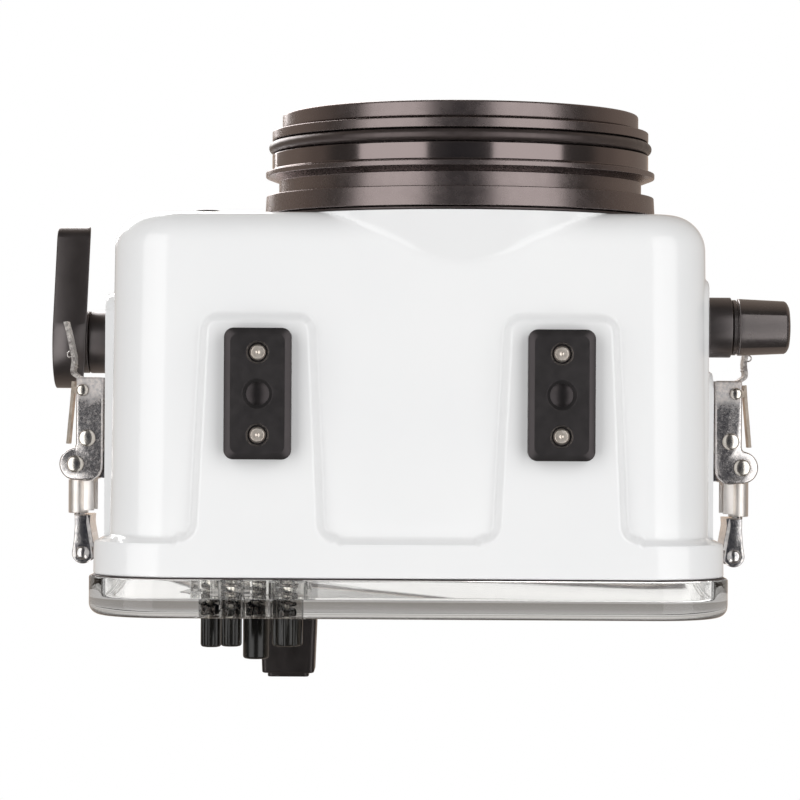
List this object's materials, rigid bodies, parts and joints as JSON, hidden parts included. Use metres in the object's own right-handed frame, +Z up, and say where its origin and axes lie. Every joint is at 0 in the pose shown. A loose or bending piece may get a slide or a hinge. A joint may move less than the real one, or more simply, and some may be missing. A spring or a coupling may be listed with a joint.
{
  "type": "underwater camera housing",
  "caption": "Diving housing for a compact camera: white shell, clear latched back, round port neck, tray feet and sealed push, turn and lever controls.",
  "frame": {"origin": "on the plane that the feet stand on, under the middle of the whole housing", "axes": "+X from the shutter lever's side to the zoom knob's side, +Y from the port to the clear back, +Z up"},
  "size_m": [0.2125, 0.1621, 0.1376],
  "materials": {
    "white_shell": "glossy moulded white",
    "black_plastic": "satin black",
    "clear_back": "clear polished polycarbonate",
    "seal_rubber": "smooth black rubber",
    "satin_steel": "turned satin steel",
    "latch_metal": "nickel-plated, lightly mottled"
  },
  "bodies": {
    "housing": {"front_shell": "white_shell", "tray_foot_left": "black_plastic", "tray_foot_right": "black_plastic", "foot_screw_left_front": "satin_steel", "foot_screw_left_rear": "satin_steel", "foot_screw_right_front": "satin_steel", "foot_screw_right_rear": "satin_steel", "port_neck": "black_plastic", "port_gasket": "seal_rubber", "port_oring": "seal_rubber", "port_front_ring": "black_plastic", "camera_tray": "black_plastic", "shutter_gland": "black_plastic", "zoom_gland": "black_plastic", "latch_base_left": "latch_metal", "latch_base_right": "latch_metal", "latch_pivot_upper_left": "latch_metal", "latch_pivot_lower_left": "latch_metal", "latch_pivot_upper_right": "latch_metal", "latch_pivot_lower_right": "latch_metal"},
    "back": {"back_cover": "clear_back", "back_oring": "seal_rubber", "keeper_left": "latch_metal", "keeper_right": "latch_metal"},
    "button_1": {"button_1": "black_plastic", "button_plunger_1": "satin_steel"},
    "button_2": {"button_2": "black_plastic", "button_plunger_2": "satin_steel"},
    "button_3": {"button_3": "black_plastic", "button_plunger_3": "satin_steel"},
    "button_4": {"button_4": "black_plastic", "button_plunger_4": "satin_steel"},
    "button_5": {"button_5": "black_plastic", "button_plunger_5": "satin_steel"},
    "button_6": {"button_6": "black_plastic", "button_plunger_6": "satin_steel"},
    "rear_control": {"rear_lever": "black_plastic", "rear_lever_shaft": "satin_steel"},
    "shutter": {"shutter_lever": "black_plastic", "shutter_shaft": "satin_steel", "shutter_arm": "black_plastic"},
    "zoom": {"zoom_knob": "black_plastic", "zoom_shaft": "satin_steel", "zoom_pinion": "black_plastic"},
    "dial": {"top_dial": "black_plastic"},
    "top_push": {"top_button": "black_plastic"},
    "front_push": {"front_button": "black_plastic"},
    "tripod_screw": {"camera_screw": "satin_steel"},
    "lever_left": {"latch_lever_left": "latch_metal", "link_pin_left": "latch_metal", "lock_pin_left": "latch_metal"},
    "lock_left": {"latch_lock_left": "latch_metal"},
    "link_left": {"draw_link_left": "latch_metal", "draw_claw_left": "latch_metal"},
    "lever_right": {"latch_lever_right": "latch_metal", "link_pin_right": "latch_metal", "lock_pin_right": "latch_metal"},
    "lock_right": {"latch_lock_right": "latch_metal"},
    "link_right": {"draw_link_right": "latch_metal", "draw_claw_right": "latch_metal"}
  },
  "joints": [
    {"name": "latch_left", "type": "hinge", "parent": "housing", "child": "lever_left", "pos_m": [-0.0947, 0.0187, 0.058], "axis": [0, 0, -1], "range_deg": [0, 120]},
    {"name": "latch_right", "type": "hinge", "parent": "housing", "child": "lever_right", "pos_m": [0.0947, 0.0187, 0.058], "axis": [0, 0, 1], "range_deg": [0, 120]},
    {"name": "link_swing_left", "type": "hinge", "parent": "lever_left", "child": "link_left", "pos_m": [-0.0914, 0.0113, 0.058], "axis": [0, 0, -1], "range_deg": [-120, 0]},
    {"name": "link_swing_right", "type": "hinge", "parent": "lever_right", "child": "link_right", "pos_m": [0.0914, 0.0113, 0.058], "axis": [0, 0, 1], "range_deg": [-120, 0]},
    {"name": "lock_tilt_left", "type": "hinge", "parent": "lever_left", "child": "lock_left", "pos_m": [-0.0928, -0.0023, 0.058], "axis": [0, 0, 1], "range_deg": [0, 8]},
    {"name": "lock_tilt_right", "type": "hinge", "parent": "lever_right", "child": "lock_right", "pos_m": [0.0928, -0.0023, 0.058], "axis": [0, 0, -1], "range_deg": [0, 8]},
    {"name": "back_slide", "type": "slide", "parent": "housing", "child": "back", "axis": [0, 1, 0], "range_m": [0, 0.006]},
    {"name": "button_1_press", "type": "slide", "parent": "back", "child": "button_1", "axis": [0, -1, 0], "range_m": [0, 0.0025], "stiffness_N_per_m": 400, "springref_m": -0.0015},
    {"name": "button_2_press", "type": "slide", "parent": "back", "child": "button_2", "axis": [0, -1, 0], "range_m": [0, 0.0025], "stiffness_N_per_m": 400, "springref_m": -0.0015},
    {"name": "button_3_press", "type": "slide", "parent": "back", "child": "button_3", "axis": [0, -1, 0], "range_m": [0, 0.0025], "stiffness_N_per_m": 400, "springref_m": -0.0015},
    {"name": "button_4_press", "type": "slide", "parent": "back", "child": "button_4", "axis": [0, -1, 0], "range_m": [0, 0.0025], "stiffness_N_per_m": 400, "springref_m": -0.0015},
    {"name": "button_5_press", "type": "slide", "parent": "back", "child": "button_5", "axis": [0, -1, 0], "range_m": [0, 0.0025], "stiffness_N_per_m": 400, "springref_m": -0.0015},
    {"name": "button_6_press", "type": "slide", "parent": "back", "child": "button_6", "axis": [0, -1, 0], "range_m": [0, 0.0025], "stiffness_N_per_m": 400, "springref_m": -0.0015},
    {"name": "rear_lever_turn", "type": "hinge", "parent": "back", "child": "rear_control", "pos_m": [-0.0346, 0.06, 0.072], "axis": [0, 1, 0], "range_deg": [-25, 25], "stiffness_Nm_per_rad": 0.03},
    {"name": "shutter_press", "type": "hinge", "parent": "housing", "child": "shutter", "pos_m": [-0.09, -0.0169, 0.1], "axis": [1, 0, 0], "range_deg": [0, 12], "stiffness_Nm_per_rad": 0.3, "springref_deg": -5.73},
    {"name": "zoom_turn", "type": "hinge", "parent": "housing", "child": "zoom", "pos_m": [0.09, -0.0208, 0.034], "axis": [1, 0, 0], "continuous": true},
    {"name": "dial_turn", "type": "hinge", "parent": "housing", "child": "dial", "pos_m": [-0.03, 0.008, 0.13], "axis": [0, 0, 1], "continuous": true},
    {"name": "top_button_press", "type": "slide", "parent": "housing", "child": "top_push", "axis": [0, 0, -1], "range_m": [0, 0.002], "stiffness_N_per_m": 400, "springref_m": -0.0015},
    {"name": "front_button_press", "type": "slide", "parent": "housing", "child": "front_push", "axis": [0, 1, 0], "range_m": [0, 0.0018], "stiffness_N_per_m": 400, "springref_m": -0.0015},
    {"name": "camera_screw_turn", "type": "hinge", "parent": "housing", "child": "tripod_screw", "pos_m": [0, 0.012, 0.015], "axis": [0, 0, 1], "continuous": true}
  ],
  "couplings": [
    {"joint": "latch_left", "follows": "back_slide", "rad_per_m": 349.06},
    {"joint": "latch_right", "follows": "back_slide", "rad_per_m": 349.06},
    {"joint": "link_swing_left", "follows": "back_slide", "rad_per_m": -349.06},
    {"joint": "link_swing_right", "follows": "back_slide", "rad_per_m": -349.06}
  ]
}
